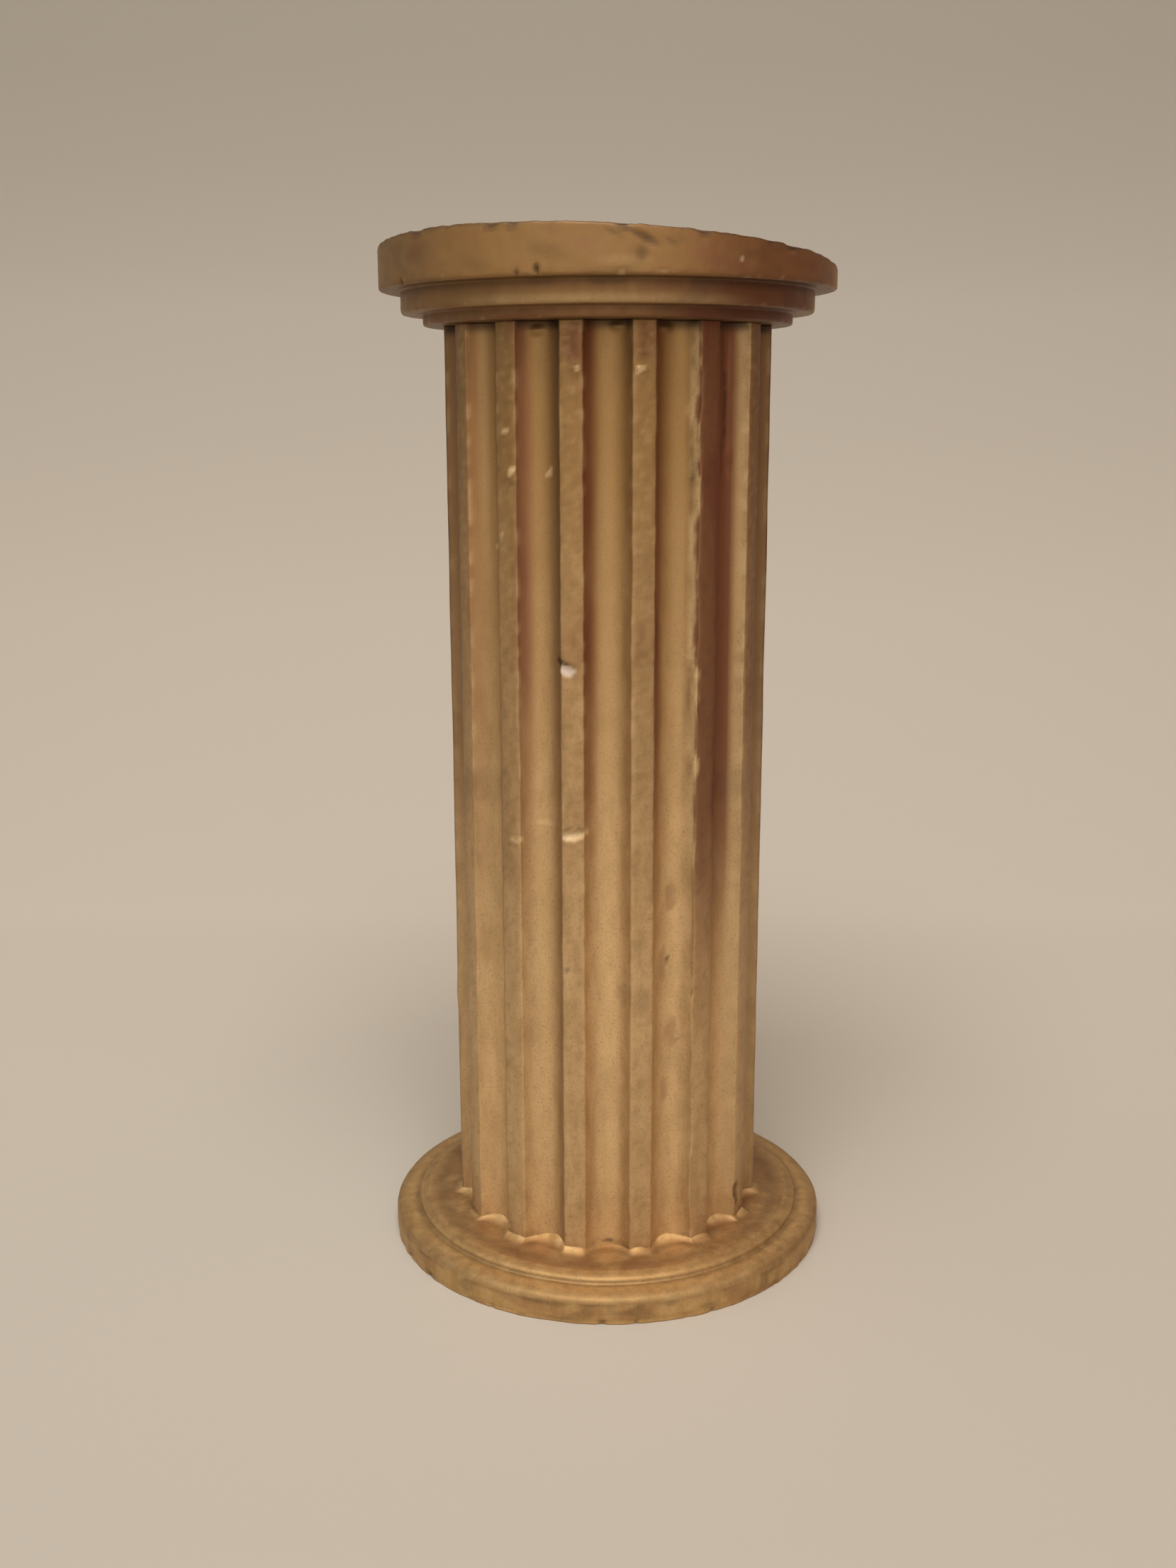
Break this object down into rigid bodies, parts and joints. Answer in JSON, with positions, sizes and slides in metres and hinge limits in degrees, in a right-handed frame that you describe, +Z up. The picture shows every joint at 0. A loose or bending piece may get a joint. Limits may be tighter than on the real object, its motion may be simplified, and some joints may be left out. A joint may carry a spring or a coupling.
{
  "type": "doric column pedestal",
  "caption": "Free-standing fluted column pedestal with a round stepped base, a round stepped capital and a slightly sloping flat top.",
  "frame": {"origin": "centre of the base's underside, on the surface that the column stands on", "axes": "+Z up along the column's axis; -Y towards the front, where the middle of a flute faces; +X to the viewer's right"},
  "size_m": [0.344, 0.344, 0.7639],
  "materials": {
    "base_gold": "cast plaster with brushed satin gold paint, paler on the rounded shoulders",
    "shaft_gold": "cast plaster with brushed satin gold paint, redder and darker towards the top",
    "capital_gold": "cast plaster with brushed satin gold paint, rough at the top rim"
  },
  "bodies": {
    "root": {"base": "base_gold", "shaft": "shaft_gold", "capital": "capital_gold"}
  },
  "joints": []
}
